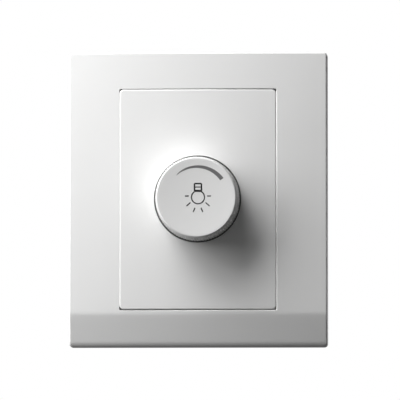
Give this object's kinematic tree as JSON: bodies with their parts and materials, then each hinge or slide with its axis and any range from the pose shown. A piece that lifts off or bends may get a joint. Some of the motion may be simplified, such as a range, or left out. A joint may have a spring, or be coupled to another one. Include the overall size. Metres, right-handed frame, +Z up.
{
  "type": "rotary dimmer switch",
  "caption": "Wall dimmer with a round serrated push-fit knob on a flat insert, a crowned clip-on cover frame with a sloping foot, and a wired housing behind.",
  "frame": {"origin": "centre of the plate on the wall plane, y = 0", "axes": "the front faces -Y, +Y goes into the wall, +Z is up, +X is right seen from the front"},
  "size_m": [0.086, 0.0477, 0.098],
  "materials": {
    "cover_plastic": "white moulded plastic, satin gloss",
    "insert_plastic": "white moulded plastic, satin gloss",
    "knob_plastic": "white moulded plastic, satin, serrated skirt",
    "carrier_plastic": "off-white glass-filled plastic",
    "housing_plastic": "black heat-resistant plastic, fine spark texture",
    "zinc_steel": "bright zinc-plated steel",
    "tinned_lead": "tinned wire and strip",
    "brass_strip": "plain brass, machined and pressed",
    "aluminium_sheet": "mill finish aluminium",
    "phenolic_track": "brown phenolic with a printed carbon track",
    "black_resin": "black moulding resin",
    "grey_resin": "grey silicone and nylon",
    "board_laminate": "paper laminate board, tan",
    "capacitor_case": "yellow capacitor case",
    "ferrite": "sintered ferrite",
    "enamelled_copper": "enamelled copper wire",
    "resistor_lacquer": "beige lacquer",
    "clear_glass": "clear glass tube",
    "diode_glass": "orange-brown glass bead, solid"
  },
  "bodies": {
    "base": {"insert_panel": "insert_plastic", "mounting_base": "carrier_plastic", "rear_housing": "housing_plastic", "wall_screw_left": "zinc_steel", "wall_screw_right": "zinc_steel", "housing_screw_1": "zinc_steel", "housing_screw_2": "zinc_steel", "housing_screw_3": "zinc_steel", "housing_screw_4": "zinc_steel", "pot_washer": "zinc_steel", "board_screw_1": "zinc_steel", "board_screw_2": "zinc_steel", "triac_screw": "zinc_steel", "terminal_screw_line": "zinc_steel", "terminal_screw_load": "zinc_steel", "pot_lead_1": "tinned_lead", "pot_lead_2": "tinned_lead", "pot_lead_3": "tinned_lead", "triac_lead_1": "tinned_lead", "triac_lead_2": "tinned_lead", "triac_lead_3": "tinned_lead", "fuse_cap_1": "tinned_lead", "fuse_cap_2": "tinned_lead", "pot_bushing": "brass_strip", "pot_nut": "brass_strip", "switch_terminal_1": "brass_strip", "switch_terminal_2": "brass_strip", "fuse_clip_1": "brass_strip", "fuse_clip_2": "brass_strip", "terminal_line": "brass_strip", "terminal_load": "brass_strip", "pot_case": "aluminium_sheet", "heat_sink": "aluminium_sheet", "resistor_track": "phenolic_track", "switch_case": "black_resin", "triac_body": "black_resin", "insulating_pad": "grey_resin", "circuit_board": "board_laminate", "filter_capacitor": "capacitor_case", "timing_capacitor": "capacitor_case", "choke_core": "ferrite", "choke_winding": "enamelled_copper", "resistor_1": "resistor_lacquer", "resistor_2": "resistor_lacquer", "fuse_tube": "clear_glass", "diac": "diode_glass"},
    "cover": {"cover_frame": "cover_plastic"},
    "shaft": {"pot_shaft": "zinc_steel", "wiper_carrier": "black_resin", "wiper_contact": "brass_strip", "switch_cam": "grey_resin"},
    "knob": {"knob_body": "knob_plastic", "knob_cap": "knob_plastic", "knob_clip": "zinc_steel"},
    "contact": {"switch_bridge": "brass_strip"}
  },
  "joints": [
    {"name": "frame_pull_off", "type": "slide", "parent": "base", "child": "cover", "axis": [0, -1, 0], "range_m": [0, 0.012]},
    {"name": "knob_turn", "type": "hinge", "parent": "base", "child": "shaft", "pos_m": [0, 0, 0], "axis": [0, 1, 0], "range_deg": [-150, 150]},
    {"name": "knob_pull_off", "type": "slide", "parent": "shaft", "child": "knob", "axis": [0, -1, 0], "range_m": [0, 0.009]},
    {"name": "switch_open", "type": "slide", "parent": "base", "child": "contact", "axis": [0, -1, 0], "range_m": [0, 0.0004]}
  ]
}
